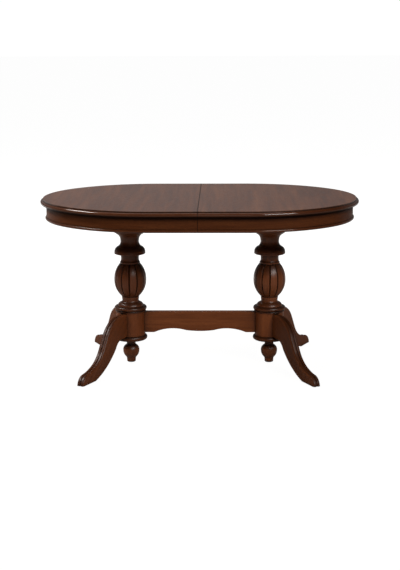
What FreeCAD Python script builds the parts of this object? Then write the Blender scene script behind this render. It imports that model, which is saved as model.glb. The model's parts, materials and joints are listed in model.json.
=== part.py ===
"""Double pedestal extension dining table: two sliding top halves on a fixed base.

Millimetres, +Z up, +X along the table, floor at Z zero, seam of the top at X zero.
"""
import FreeCAD, Part
import math
import os
import Sketcher

Vector = FreeCAD.Vector
doc = FreeCAD.newDocument("double_pedestal_dining_table")
sheet = doc.addObject("Spreadsheet::Sheet", "Sizes")

SIZES = {
    # top and its edge
    "top_length": 1400, "top_width": 900, "table_height": 760, "panel_thickness": 22,
    "field_inset": 11, "edge_step": 6, "edge_drop": 2.5, "edge_top_round": 9, "edge_under_round": 9,
    "seam_gap": 0.1,
    # apron and the bead along its lower edge
    "apron_inset": 25, "apron_thickness": 20, "apron_depth": 69,
    "bead_height": 11.5, "bead_projection": 5, "bead_round": 5,
    "block_length": 28, "block_width": 18,
    # slides of the top
    "rail_offset": 170, "rail_width": 28, "rail_height": 38, "rail_setback": 50,
    "runner_width": 24, "runner_height": 36, "runner_start": 5, "runner_setback": 150,
    "tongue_height": 8, "tongue_depth": 7, "tongue_rise": 12, "slide_gap": 0.5,
    "cleat_width": 50, "cleat_setback": 230, "top_travel": 200,
    # equaliser gear
    "gear_module": 3, "gear_teeth": 18, "gear_backlash": 0.5, "pressure_angle": 20,
    "rack_height": 14, "rack_back": 9, "axle_radius": 4, "axle_play": 0.05,
    "axle_head_radius": 8, "axle_head_height": 3, "bridge_width": 60,
    "bridge_thickness": 20, "fence_width": 12,
    # seam dowels and swing latches
    "dowel_radius": 4, "dowel_length": 40, "dowel_spacing": 300, "dowel_play": 0.3,
    "latch_pivot_inset": 24, "latch_width": 22, "latch_reach": 46,
    "latch_thickness": 4, "latch_plate_length": 34, "latch_plate_thickness": 2,
    "latch_pin_radius": 3, "latch_gap": 0.5, "keeper_play": 2.4, "latch_tail": 14,
    # columns, drums and feet of the pedestals
    "bearer_width": 90, "bearer_length": 430, "bearer_thickness": 32,
    "cap_bottom": 114, "cap_height": 22, "drum_height": 107, "collar_height": 26,
    "drum_radius": 64.5, "bore_radius": 38, "spigot_length": 22, "ring_radius": 74,
    "column_foot_radius": 57, "lower_neck_radius": 38, "bulb_radius": 71.4,
    "upper_neck_radius": 40, "disc_radius": 69, "top_neck_radius": 41.7,
    "capital_radius": 74, "head_radius": 62, "lobe_count": 12, "lobe_depth": 7,
    "finial_radius": 36.2, "finial_neck_radius": 21, "finial_foot_radius": 19.5,
    "finial_clearance": 9, "stud_radius": 5, "stud_length": 60, "joint_gap": 0.15,
    # legs, stretcher and their bolts
    "leg_reach": 433, "leg_thickness": 34, "leg_angle": 63.7, "leg_drop": 1.5, "leg_round": 8,
    "reed_gap": 4, "reed_round": 2.2, "glide_height": 3, "glide_radius": 12, "stretcher_height": 93,
    "stretcher_thickness": 35, "stretcher_drop": 1.5, "stretcher_round": 1.5,
    "bolt_radius": 4, "bolt_grip": 45, "bolt_spacing": 45, "bolt_end": 10,
    "nut_radius": 7.5, "nut_height": 6.5, "nut_gap": 0.35,
    # wood screws
    "screw_radius": 2.2, "screw_head_radius": 4.4, "screw_head_height": 3, "screw_grip": 14,
    "screw_gap": 0.1, "arris": 1.2,
}

for row, (alias, number) in enumerate(SIZES.items(), start=1):
    sheet.set("A%d" % row, alias)
    sheet.set("B%d" % row, str(number))
    sheet.setAlias("B%d" % row, alias)
doc.recompute()


class Size:
    """A length or share that knows both its expression and its present value."""

    def __init__(self, text, value):
        self.text = text
        self.value = value

    def __add__(self, other):
        return join(self, "+", other, lambda a, b: a + b)

    def __radd__(self, other):
        return size(other) + self

    def __sub__(self, other):
        return join(self, "-", other, lambda a, b: a - b)

    def __rsub__(self, other):
        return size(other) - self

    def __mul__(self, other):
        return join(self, "*", other, lambda a, b: a * b)

    def __rmul__(self, other):
        return size(other) * self

    def __truediv__(self, other):
        return join(self, "/", other, lambda a, b: a / b)

    def __neg__(self):
        return Size("(0 - %s)" % self.text, -self.value)


def size(number):
    """Any number as a Size."""
    if isinstance(number, Size):
        return number
    return Size("%.9g" % number if number >= 0 else "(0 - %.9g)" % -number, float(number))


def join(first, sign, second, work):
    """Two sizes joined by one arithmetic sign."""
    second = size(second)
    return Size("(%s %s %s)" % (first.text, sign, second.text), work(first.value, second.value))


def root(area):
    """Square root of a size."""
    return Size("sqrt(%s)" % area.text, math.sqrt(area.value))


def cosine(angle):
    """Cosine of an angle in degrees."""
    return Size("cos(%s)" % angle.text, math.cos(math.radians(angle.value)))


def sine(angle):
    """Sine of an angle in degrees."""
    return Size("sin(%s)" % angle.text, math.sin(math.radians(angle.value)))


class Named:
    """The sheet's sizes as attributes."""

    def __getattr__(self, alias):
        return Size("Sizes.%s" % alias, float(SIZES[alias]))


S = Named()
pieces = []


def keep(thing, label):
    """Takes an object as one finished piece of the table."""
    thing.Label = label
    pieces.append(thing)
    return thing


def bind(thing, **values):
    """Binds properties to sizes."""
    for prop, value in values.items():
        thing.setExpression(prop, size(value).text)
    return thing


def place(thing, x=0, y=0, z=0, axis=None, angle=0):
    """Binds a placement: a point, and a turn about an axis."""
    if axis is not None:
        turn = FreeCAD.Rotation(Vector(*axis), size(angle).value)
        thing.Placement = FreeCAD.Placement(Vector(0, 0, 0), turn)
    for letter, value in (("x", x), ("y", y), ("z", z)):
        thing.setExpression("Placement.Base.%s" % letter, size(value).text)
    return thing


def new_body(label):
    """An empty body that becomes one piece."""
    return keep(doc.addObject("PartDesign::Body", label), label)


def origin_plane(body, role):
    """One of a body's own origin planes."""
    return [item for item in body.Origin.OriginFeatures if item.Role == role][0]


def new_sketch(body, role, lift=0):
    """An empty sketch on an origin plane, lifted along its normal."""
    sketch = body.newObject("Sketcher::SketchObject", body.Label + "_sketch")
    sketch.AttachmentSupport = [(origin_plane(body, role), "")]
    sketch.MapMode = "FlatFace"
    sketch.setExpression("AttachmentOffset.Base.z", size(lift).text)
    return sketch


def hold(sketch, rules, index, end, point):
    """Adds the constraints that hold one point at its two sizes."""
    for kind, axis, value in (("DistanceX", -2, point[0]), ("DistanceY", -1, point[1])):
        if value.value:
            rules.append((Sketcher.Constraint(kind, -1, 1, index, end, value.value), value.text))
        else:
            rules.append((Sketcher.Constraint("PointOnObject", index, end, axis), None))


def settle(sketch, rules):
    """Adds all constraints at once and binds those with a size."""
    first = sketch.ConstraintCount
    sketch.addConstraint([rule for rule, text in rules])
    for step, (rule, text) in enumerate(rules):
        if text is not None:
            sketch.setExpression("Constraints[%d]" % (first + step), text)


def outline(body, role, corners, curves=None, lift=0):
    """A closed outline. A curve is a bulge, as a share of its chord, or a pair of radius
    and side; it stands out to the right of the way round when it is above zero."""
    sketch = new_sketch(body, role, lift)
    draw(sketch, [(size(u), size(v)) for u, v in corners], curves or {})
    return sketch


def draw(sketch, points, curves):
    """Draws one closed outline into a sketch."""
    count = len(points)
    base = sketch.GeometryCount
    shapes = []
    ends = []
    radii = {}
    for step in range(count):
        here, there = points[step], points[(step + 1) % count]
        start = Vector(here[0].value, here[1].value, 0)
        finish = Vector(there[0].value, there[1].value, 0)
        if step not in curves:
            shapes.append(Part.LineSegment(start, finish))
            ends.append((1, 2))
            continue
        run, rise = there[0] - here[0], there[1] - here[1]
        chord = root(run * run + rise * rise)
        bend = curves[step]
        if isinstance(bend, tuple):
            radius, side = bend
            rise_share = (radius.value - math.sqrt(radius.value ** 2 - chord.value ** 2 / 4)) / chord.value
        else:
            rise_share, side = abs(bend), math.copysign(1, bend)
            radius = chord * (1 / (8 * rise_share) + rise_share / 2)
        right = Vector(rise.value, -run.value, 0) / chord.value
        centre = (start + finish) / 2 - right * side * (radius.value - rise_share * chord.value)
        first, last = (start, finish) if side > 0 else (finish, start)
        angles = [math.atan2(p.y - centre.y, p.x - centre.x) for p in (first, last)]
        circle = Part.Circle(centre, Vector(0, 0, 1), radius.value)
        shapes.append(Part.ArcOfCircle(circle, angles[0], angles[1]))
        ends.append((1, 2) if side > 0 else (2, 1))
        radii[step] = radius
    sketch.addGeometry(shapes, False)
    rules = []
    for step in range(count):
        after = (step + 1) % count
        rules.append((Sketcher.Constraint("Coincident", base + step, ends[step][1],
                                          base + after, ends[after][0]), None))
    for step in range(count):
        hold(sketch, rules, base + step, ends[step][0], points[step])
        if step in radii:
            rules.append((Sketcher.Constraint("Radius", base + step, radii[step].value),
                          radii[step].text))
    settle(sketch, rules)


def circles(body, role, centres, radius, lift=0):
    """A sketch of equal circles."""
    sketch = new_sketch(body, role, lift)
    rules = []
    for index, (u, v) in enumerate(centres):
        point = (size(u), size(v))
        middle = Vector(point[0].value, point[1].value, 0)
        sketch.addGeometry(Part.Circle(middle, Vector(0, 0, 1), radius.value), False)
        hold(sketch, rules, index, 3, point)
        rules.append((Sketcher.Constraint("Radius", index, radius.value), radius.text))
    settle(sketch, rules)
    return sketch


def feature(body, kind, sketch, **values):
    """One sketch-based feature. Plain properties are set, sizes are bound."""
    made = body.newObject("PartDesign::" + kind, body.Label + "_" + kind.lower())
    made.Profile = sketch
    for prop, value in values.items():
        if isinstance(value, Size):
            made.setExpression(prop, value.text)
        else:
            setattr(made, prop, value)
    sketch.Visibility = False
    return made


def turned(label, corners, curves=None):
    """A piece turned about the Z axis of its body."""
    body = new_body(label)
    sketch = outline(body, "XZ_Plane", corners, curves)
    feature(body, "Revolution", sketch, ReferenceAxis=(sketch, ["V_Axis"]), Angle=360.0)
    return body


def pattern(body, original, role, count, angle=None, back=False):
    """Repeats a feature round an origin axis, over the full turn or over one angle."""
    made = body.newObject("PartDesign::PolarPattern", body.Label + "_pattern")
    made.Originals = [original]
    made.Axis = (origin_plane(body, role), [""])
    made.Angle = 360
    if angle is not None:
        made.setExpression("Angle", angle.text)
    made.Reversed = back
    made.Occurrences = count
    body.Tip = made
    return made


def soften(body, radius, wanted):
    """Rounds the edges of a body that the test picks."""
    doc.recompute()
    solid = body.Tip
    names = ["Edge%d" % (step + 1) for step, edge in enumerate(solid.Shape.Edges) if wanted(edge)]
    made = body.newObject("PartDesign::Fillet", body.Label + "_fillet")
    made.Base = (solid, names)
    made.setExpression("Radius", radius.text)
    body.Tip = made
    return made


def mirrored(source, label, across=(1, 0, 0)):
    """The same piece on the other side of the table."""
    made = doc.addObject("Part::Mirroring", label)
    made.Source = source
    made.Normal = Vector(*across)
    return keep(made, label)


def block(label, low, spans):
    """A plain squared piece from its low corner and its spans."""
    made = doc.addObject("Part::Box", label)
    bind(made, Length=spans[0], Width=spans[1], Height=spans[2])
    return place(made, *low)


def group(label, members):
    """Equal separate solids as one piece."""
    made = doc.addObject("Part::Compound", label)
    made.Links = members
    return keep(made, label)


def near(first, second, slack=0.01):
    """True where two lengths agree within a small slack."""
    return abs(first - second) < slack


# levels up the table
under_panel = S.table_height - S.panel_thickness
rail_bottom = under_panel - S.slide_gap - S.rail_height
bearer_bottom = rail_bottom - S.bearer_thickness
runner_bottom = under_panel - S.runner_height
apron_bottom = under_panel - S.apron_depth
drum_bottom = S.cap_bottom + S.cap_height
collar_bottom = drum_bottom + S.drum_height
column_bottom = collar_bottom + S.collar_height
pedestal_share = 0.2221429
pedestal_x = S.top_length * pedestal_share
half_gap = S.seam_gap / 2
rack_bottom = rail_bottom + S.slide_gap
rack_top = rack_bottom + S.rack_height

# places that follow the length and width of the top
shoulder_share, end_share, latch_share = 0.5811111, 0.4633333, 1 / 3
shoulder_radius = S.top_width * shoulder_share
end_radius = S.top_width * end_share
latch_offset = S.top_width * latch_share
runner_length = S.top_length / 2 - S.runner_start - S.runner_setback
cleat_place = S.top_length / 2 - S.cleat_setback
rail_length = (cleat_place - S.rail_setback) * 2


def oval(inset):
    """Half of the top's three-centre oval, set in from its edge: corners, then curves."""
    half_width = S.top_width / 2
    end_centre = S.top_length / 2 - end_radius
    reach = shoulder_radius - end_radius
    lift = shoulder_radius - half_width
    shoulder_x = end_centre - root(reach * reach - lift * lift)
    inner_end = end_radius - inset
    meet_x = end_centre + inner_end * (end_centre - shoulder_x) / reach
    meet_y = inner_end * lift / reach
    side = half_width - inset
    corners = [(half_gap, -side), (shoulder_x, -side), (meet_x, -meet_y),
               (meet_x, meet_y), (shoulder_x, side), (half_gap, side)]
    radii = {1: shoulder_radius - inset, 2: inner_end, 3: shoulder_radius - inset}
    return corners, radii


def band(label, outer_inset, inner_inset, bottom, height):
    """A strip that follows the oval round one half of the top."""
    body = new_body(label)
    outer, outer_radii = oval(outer_inset)
    inner, inner_radii = oval(inner_inset)
    corners = outer + inner[::-1]
    curves = {step: (radius, 1) for step, radius in outer_radii.items()}
    last = len(corners) - 2
    for step, radius in inner_radii.items():
        curves[last - step] = (radius, -1)
    sketch = outline(body, "XY_Plane", corners, curves, bottom)
    feature(body, "Pad", sketch, Length=height)
    return body


def outer_edge(edge, inset, level):
    """True for an edge on the oval's outside at one level."""
    box = edge.BoundBox
    if not (near(box.ZMin, level.value) and near(box.ZMax, level.value)):
        return False
    middle = edge.valueAt((edge.FirstParameter + edge.LastParameter) / 2)
    corners, radii = oval(inset)
    end_centre = S.top_length.value / 2 - end_radius.value
    if near(abs(middle.y), corners[0][1].value * -1) and middle.x < corners[1][0].value:
        return True
    if near(math.hypot(middle.x - end_centre, middle.y), radii[2].value):
        return True
    rise = shoulder_radius.value - S.top_width.value / 2
    reach = math.hypot(middle.x - corners[1][0].value, abs(middle.y) + rise)
    return near(reach, radii[1].value)


# top panel with the holes of its runner screws and seam dowels
screw_share = 0.2
outer_runner_y = S.rail_offset + S.rail_width / 2 + S.slide_gap + S.runner_width / 2
inner_runner_y = S.rail_offset - S.rail_width / 2 - S.slide_gap - S.runner_width / 2
screw_shares = (screw_share / 2, 0.5 - screw_share, 0.5 + screw_share / 2, 1 - screw_share / 2)
screw_steps = [S.runner_start + runner_length * share for share in screw_shares]


def top_panel(label, runner_y):
    """The veneered field of one half, drilled for its runners and dowels."""
    body = new_body(label)
    corners, radii = oval(S.field_inset)
    curves = {step: (radius, 1) for step, radius in radii.items()}
    sketch = outline(body, "XY_Plane", corners, curves, under_panel)
    feature(body, "Pad", sketch, Length=S.panel_thickness)
    spots = [(x, side * runner_y) for x in screw_steps for side in (-1, 1)]
    sketch = circles(body, "XY_Plane", spots, S.screw_radius + S.screw_gap, under_panel)
    feature(body, "Pocket", sketch, Length=S.screw_grip, Reversed=True)
    level = S.table_height - S.panel_thickness / 2
    spots = [(step * S.dowel_spacing, level) for step in (-1, 0, 1)]
    sketch = circles(body, "YZ_Plane", spots, S.dowel_radius + S.dowel_play)
    feature(body, "Pocket", sketch, Length=S.dowel_length / 2 + S.arris, Reversed=True)
    return body


def edge_strip(label):
    """The moulded lipping round one half, a step below the field and a little deeper than the panel."""
    top = S.table_height - S.edge_step
    bottom = under_panel - S.edge_drop
    body = band(label, 0, S.field_inset, bottom, S.panel_thickness - S.edge_step + S.edge_drop)
    soften(body, S.edge_top_round, lambda edge: outer_edge(edge, 0, top))
    soften(body, S.edge_under_round, lambda edge: outer_edge(edge, 0, bottom))
    return body


def bead_strip(label):
    """The rounded bead under one half of the apron."""
    bead_inset = S.apron_inset - S.bead_projection
    body = band(label, bead_inset, S.apron_inset + S.apron_thickness, apron_bottom, S.bead_height)
    top = apron_bottom + S.bead_height
    soften(body, S.bead_round, lambda edge: outer_edge(edge, bead_inset, top))
    soften(body, S.bead_round, lambda edge: outer_edge(edge, bead_inset, apron_bottom))
    return body


def apron_strip(label):
    """The plain curved apron of one half."""
    bottom = apron_bottom + S.bead_height
    return band(label, S.apron_inset, S.apron_inset + S.apron_thickness, bottom,
                S.apron_depth - S.bead_height)


left_rows = outer_runner_y
right_rows = inner_runner_y
right_panel = top_panel("right_top_panel", right_rows)
left_source = top_panel("left_panel_pattern", left_rows)
pieces.remove(left_source)
mirrored(left_source, "left_top_panel")
mirrored(edge_strip("right_edge_moulding"), "left_edge_moulding")
mirrored(apron_strip("right_apron"), "left_apron")
mirrored(bead_strip("right_apron_bead"), "left_apron_bead")


block_start_shares = (0.35, 1)


def glue_blocks(label, side):
    """Squared blocks glued into the corner of apron and panel."""
    inner = S.top_width / 2 - S.apron_inset - S.apron_thickness
    low_z = under_panel - S.block_width
    straight = oval(0)[0][1][0]
    members = []
    for share in block_start_shares:
        start = (straight - S.block_length) * share
        low_x = start if side > 0 else -start - S.block_length
        for front in (-1, 1):
            low_y = inner - S.block_width if front > 0 else -inner
            spans = (S.block_length, S.block_width, S.block_width)
            members.append(block(label + "_block", (low_x, low_y, low_z), spans))
    inner_end = end_radius - S.apron_inset - S.apron_thickness
    half_length = S.block_length / 2
    end = S.top_length / 2 - end_radius + root(inner_end * inner_end - half_length * half_length)
    end = end - S.joint_gap
    low_x = end - S.block_width if side > 0 else -end
    members.append(block(label + "_block", (low_x, -half_length, low_z),
                         (S.block_width, S.block_length, S.block_width)))
    group(label, members)


glue_blocks("left_glue_blocks", -1)
glue_blocks("right_glue_blocks", 1)


# runners, cleats and screws of the two halves
def runner(label, side, front, outside):
    """A runner with its tongue. Side is the half, front its rail, outside its rail face."""
    body = new_body(label)
    face = S.rail_offset + outside * (S.rail_width / 2 + S.slide_gap)
    back = face + outside * S.runner_width
    tip = face - outside * S.tongue_depth
    low = runner_bottom + S.tongue_rise
    high = low + S.tongue_height
    section = [(face, runner_bottom), (back, runner_bottom), (back, under_panel),
               (face, under_panel), (face, high), (tip, high), (tip, low), (face, low)]
    section = [(front * y, z) for y, z in section]
    start = S.runner_start if side > 0 else -S.runner_start - runner_length
    sketch = outline(body, "YZ_Plane", section, None, start)
    feature(body, "Pad", sketch, Length=runner_length)
    middle = front * (face + back) / 2
    spots = [(side * x, middle) for x in screw_steps]
    sketch = circles(body, "XY_Plane", spots, S.screw_radius + S.screw_gap, runner_bottom)
    feature(body, "Pocket", sketch, Length=S.runner_height + S.arris, Reversed=True)
    sketch = circles(body, "XY_Plane", spots, S.screw_head_radius + S.screw_gap, runner_bottom)
    feature(body, "Pocket", sketch, Length=S.screw_head_height + S.screw_gap, Reversed=True)
    return body


def screw(label, x, y, bottom, shank):
    """A wood screw that points up, head at the bottom."""
    head = doc.addObject("Part::Cylinder", label + "_head")
    bind(head, Radius=S.screw_head_radius, Height=S.screw_head_height)
    place(head, x, y, bottom)
    stem = doc.addObject("Part::Cylinder", label + "_stem")
    bind(stem, Radius=S.screw_radius, Height=shank)
    place(stem, x, y, bottom + S.screw_head_height)
    made = doc.addObject("Part::Fuse", label)
    made.Base = head
    made.Tool = stem
    return made


for name, side, outside, row_y in (("left", -1, 1, left_rows), ("right", 1, -1, right_rows)):
    for end, front in (("front", -1), ("rear", 1)):
        runner("%s_%s_runner" % (name, end), side, front, outside)
    shank = S.runner_height - S.screw_head_height + S.screw_grip - S.screw_gap * 2
    members = [screw(name + "_runner_screw", side * x, front * row_y, runner_bottom + S.screw_gap, shank)
               for x in screw_steps for front in (-1, 1)]
    group(name + "_runner_screws", members)
    inner = S.rail_offset + outside * (S.rail_width / 2 + S.slide_gap)
    inner = inner - (S.tongue_depth if outside > 0 else S.runner_width)
    low_x = cleat_place if side > 0 else -cleat_place - S.cleat_width
    spans = (S.cleat_width, inner * 2, under_panel - rack_top)
    keep(block(name + "_cleat", (low_x, -inner, rack_top), spans), name + "_cleat")

# base rails: grooved on both faces
for name, front in (("front_base_rail", -1), ("rear_base_rail", 1)):
    rail = new_body(name)
    half = S.rail_width / 2
    floor = half - S.tongue_depth - S.slide_gap
    low = runner_bottom + S.tongue_rise - S.slide_gap
    high = runner_bottom + S.tongue_rise + S.tongue_height + S.slide_gap
    top = under_panel - S.slide_gap
    section = [(half, rail_bottom), (half, low), (floor, low), (floor, high), (half, high), (half, top)]
    section = [(-y, z) for y, z in section] + [(y, z) for y, z in section[::-1]]
    section = [(front * S.rail_offset + y, z) for y, z in section]
    sketch = outline(rail, "YZ_Plane", section, None, -rail_length / 2)
    feature(rail, "Pad", sketch, Length=rail_length)
    screw_x = [side * pedestal_x + step * S.bearer_width / 4 for side in (-1, 1) for step in (-1, 1)]
    screw_x = screw_x + [S.bridge_width / 4, -S.bridge_width / 4]
    spots = [(x, front * S.rail_offset) for x in screw_x]
    sketch = circles(rail, "XY_Plane", spots, S.screw_radius + S.screw_gap, rail_bottom)
    feature(rail, "Pocket", sketch, Length=S.screw_grip, Reversed=True)

# cross bearers on the columns, screwed up into the rails and down into the columns
head_spot_share = 0.6
head_spot = S.head_radius * head_spot_share
for name, side in (("left_bearer", -1), ("right_bearer", 1)):
    bearer = new_body(name)
    middle = side * pedestal_x
    low_x, high_x = middle - S.bearer_width / 2, middle + S.bearer_width / 2
    half = S.bearer_length / 2
    corners = [(low_x, -half), (high_x, -half), (high_x, half), (low_x, half)]
    sketch = outline(bearer, "XY_Plane", corners, None, bearer_bottom)
    feature(bearer, "Pad", sketch, Length=S.bearer_thickness)
    spots = [(middle + step * S.bearer_width / 4, front * S.rail_offset)
             for step in (-1, 1) for front in (-1, 1)]
    spots = spots + [(middle + step * S.bearer_width / 4, front * head_spot)
                     for step in (-1, 1) for front in (-1, 1)]
    sketch = circles(bearer, "XY_Plane", spots, S.screw_radius + S.screw_gap, bearer_bottom)
    feature(bearer, "Pocket", sketch, Length=S.bearer_thickness + S.arris, Reversed=True)
    head_depth = S.screw_head_height + S.screw_gap
    sketch = circles(bearer, "XY_Plane", spots[:4], S.screw_head_radius + S.screw_gap, bearer_bottom)
    feature(bearer, "Pocket", sketch, Length=head_depth, Reversed=True)
    sketch = circles(bearer, "XY_Plane", spots[4:], S.screw_head_radius + S.screw_gap, rail_bottom)
    feature(bearer, "Pocket", sketch, Length=head_depth)

rail_shank = S.bearer_thickness - S.screw_head_height + S.screw_grip - S.screw_gap * 2
members = [screw("rail_screw", side * pedestal_x + step * S.bearer_width / 4, front * S.rail_offset,
                 bearer_bottom + S.screw_gap, rail_shank)
           for side in (-1, 1) for step in (-1, 1) for front in (-1, 1)]
group("rail_screws", members)


def down_screw(label, x, y, top, shank):
    """A wood screw that points down, head at the top."""
    made = screw(label, 0, 0, 0, shank)
    return place(made, x, y, top, (1, 0, 0), 180)


members = [down_screw("column_screw", side * pedestal_x + step * S.bearer_width / 4, front * head_spot,
                      rail_bottom - S.screw_gap, rail_shank)
           for side in (-1, 1) for step in (-1, 1) for front in (-1, 1)]
group("column_screws", members)

# bridge between the rails that carries the equaliser, with fences behind the racks
pitch_radius = S.gear_module * S.gear_teeth / 2
root_share, tip_share = 1.1, 0.9
rack_outer = pitch_radius + S.gear_module * root_share + S.rack_back
bridge = new_body("equaliser_bridge")
half_x, half_y = S.bridge_width / 2, S.rail_offset + S.rail_width / 2
corners = [(-half_x, -half_y), (half_x, -half_y), (half_x, half_y), (-half_x, half_y)]
sketch = outline(bridge, "XY_Plane", corners, None, rail_bottom - S.bridge_thickness)
feature(bridge, "Pad", sketch, Length=S.bridge_thickness)
for front in (-1, 1):
    inner = rack_outer + S.slide_gap
    outer = inner + S.fence_width
    fence = [(-half_x, inner), (half_x, inner), (half_x, outer), (-half_x, outer)]
    fence = [(x, front * y) for x, y in fence]
    sketch = outline(bridge, "XY_Plane", fence, None, rail_bottom)
    feature(bridge, "Pad", sketch, Length=S.rack_height)
spots = [(step * S.bridge_width / 4, front * S.rail_offset) for step in (-1, 1) for front in (-1, 1)]
bridge_bottom = rail_bottom - S.bridge_thickness
sketch = circles(bridge, "XY_Plane", spots, S.screw_radius + S.screw_gap, bridge_bottom)
feature(bridge, "Pocket", sketch, Length=S.bridge_thickness + S.arris, Reversed=True)
sketch = circles(bridge, "XY_Plane", spots, S.screw_head_radius + S.screw_gap, bridge_bottom)
feature(bridge, "Pocket", sketch, Length=S.screw_head_height + S.screw_gap, Reversed=True)
sketch = circles(bridge, "XY_Plane", [(0, 0)], S.axle_radius + S.axle_play, bridge_bottom)
feature(bridge, "Pocket", sketch, Length=S.bridge_thickness + S.arris, Reversed=True)
bridge_shank = S.bridge_thickness - S.screw_head_height + S.screw_grip - S.screw_gap * 2
members = [screw("bridge_screw", x, y, bridge_bottom + S.screw_gap, bridge_shank) for x, y in spots]
group("bridge_screws", members)

# axle, pinion and racks: the teeth come from the involute formula
axle_top = rack_top + S.slide_gap
turned("pinion_axle", [(0, bridge_bottom), (S.axle_radius, bridge_bottom), (S.axle_radius, axle_top),
                       (S.axle_head_radius, axle_top), (S.axle_head_radius, axle_top + S.axle_head_height),
                       (0, axle_top + S.axle_head_height)])

teeth = int(SIZES["gear_teeth"])
module = S.gear_module.value
pressure = math.radians(S.pressure_angle.value)
pitch = pitch_radius.value
base_radius = pitch * math.cos(pressure)
tip_radius = pitch + module * tip_share
root_radius = pitch - module * root_share
flank_shares = (0.0, 0.35, 0.7, 1.0)


def involute(angle):
    """Roll-off angle of the involute at a pressure angle."""
    return math.tan(angle) - angle


def half_tooth(radius):
    """Half the angle of a pinion tooth at one radius."""
    angle = math.acos(min(1.0, base_radius / radius))
    thin = S.gear_backlash.value / 2 / pitch
    return math.pi / (2 * teeth) - thin + involute(pressure) - involute(angle)


pinion_points = []
low_flank = max(root_radius, base_radius)
for tooth in range(teeth):
    centre = 2 * math.pi * tooth / teeth
    flank = [low_flank + (tip_radius - low_flank) * share for share in flank_shares]
    sides = [(root_radius, -half_tooth(low_flank))] + [(r, -half_tooth(r)) for r in flank]
    sides = sides + [(r, half_tooth(r)) for r in flank[::-1]] + [(root_radius, half_tooth(low_flank))]
    for radius, angle in sides:
        point = Vector(radius * math.cos(centre + angle), radius * math.sin(centre + angle), 0)
        if not pinion_points or (point - pinion_points[-1]).Length > S.axle_play.value:
            pinion_points.append(point)
wire = Part.makePolygon(pinion_points + pinion_points[:1])
blank = Part.Face(wire).extrude(Vector(0, 0, S.rack_height.value))
bore = Part.makeCylinder(S.axle_radius.value + S.axle_play.value, S.rack_height.value)
pinion = keep(doc.addObject("Part::Feature", "equaliser_pinion"), "equaliser_pinion")
pinion.Shape = blank.cut(bore)
place(pinion, 0, 0, rack_bottom)

pitch_step = math.pi * module
spare_teeth = 2
rack_teeth = int(S.top_travel.value / pitch_step) + spare_teeth + 1
slope = math.tan(pressure)
tip_half = pitch_step / 4 - S.gear_backlash.value / 2 - module * tip_share * slope
root_half = pitch_step / 4 - S.gear_backlash.value / 2 + module * root_share * slope
tip_line = -pitch + module * tip_share
root_line = -pitch - module * root_share
back_line = -rack_outer.value
rack_tail = -cleat_place.value - S.cleat_width.value
rack_points = [Vector(rack_tail, back_line, 0)]
rack_points.append(Vector(pitch_step * (rack_teeth + 0.5), back_line, 0))
rack_points.append(Vector(pitch_step * (rack_teeth + 0.5), root_line, 0))
for tooth in range(rack_teeth, -spare_teeth - 1, -1):
    middle = pitch_step * tooth
    rack_points.append(Vector(middle + root_half, root_line, 0))
    rack_points.append(Vector(middle + tip_half, tip_line, 0))
    rack_points.append(Vector(middle - tip_half, tip_line, 0))
    rack_points.append(Vector(middle - root_half, root_line, 0))
rack_points.append(Vector(rack_tail, root_line, 0))
wire = Part.makePolygon(rack_points + rack_points[:1])
rack = keep(doc.addObject("Part::Feature", "left_rack"), "left_rack")
rack.Shape = Part.Face(wire).extrude(Vector(0, 0, S.rack_height.value))
place(rack, 0, 0, rack_bottom)
other = keep(doc.addObject("Part::Feature", "right_rack"), "right_rack")
other.Shape = rack.Shape.copy()
place(other, 0, 0, rack_bottom, (0, 0, 1), 180)

# dowels in the seam
members = []
for step in (-1, 0, 1):
    dowel = doc.addObject("Part::Cylinder", "seam_dowel")
    bind(dowel, Radius=S.dowel_radius, Height=S.dowel_length)
    level = S.table_height - S.panel_thickness / 2
    members.append(place(dowel, -S.dowel_length / 2, step * S.dowel_spacing, level, (0, 1, 0), 90))
group("seam_dowels", members)

# swing latches: plate and pin on the left half, lever on the pin, stud on the right half
plate_bottom = under_panel - S.latch_plate_thickness
lever_top = plate_bottom - S.latch_gap
lever_bottom = lever_top - S.latch_thickness
pin_bottom = lever_bottom - S.latch_gap
plates, pins, keepers = [], [], []
for front in (-1, 1):
    spot = front * latch_offset
    half = S.latch_plate_length / 2
    low = (-S.latch_pivot_inset - half, spot - half, plate_bottom)
    width = half + S.latch_pivot_inset - half_gap - S.latch_gap
    plates.append(block("latch_plate", low, (width, S.latch_plate_length, S.latch_plate_thickness)))
    pin = doc.addObject("Part::Cylinder", "latch_pin")
    bind(pin, Radius=S.latch_pin_radius, Height=plate_bottom - pin_bottom)
    pins.append(place(pin, -S.latch_pivot_inset, spot, pin_bottom))
    head = doc.addObject("Part::Cylinder", "latch_pin_head")
    bind(head, Radius=S.latch_pin_radius * 2, Height=S.latch_plate_thickness)
    place(head, -S.latch_pivot_inset, spot, pin_bottom - S.latch_plate_thickness)
    whole = doc.addObject("Part::Fuse", "latch_pin_whole")
    whole.Base = pin
    whole.Tool = head
    pins[-1] = whole
    stud_x = S.latch_reach - S.latch_pivot_inset
    foot = doc.addObject("Part::Cylinder", "keeper_foot")
    bind(foot, Radius=S.latch_pin_radius * 3, Height=S.latch_plate_thickness)
    place(foot, stud_x, spot, plate_bottom)
    stud = doc.addObject("Part::Cylinder", "keeper_stud")
    bind(stud, Radius=S.latch_pin_radius, Height=plate_bottom - pin_bottom)
    place(stud, stud_x, spot, pin_bottom)
    whole = doc.addObject("Part::Fuse", "keeper_whole")
    whole.Base = foot
    whole.Tool = stud
    keepers.append(whole)
group("latch_plates", plates)
group("latch_pins", pins)
group("latch_keepers", keepers)

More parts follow.
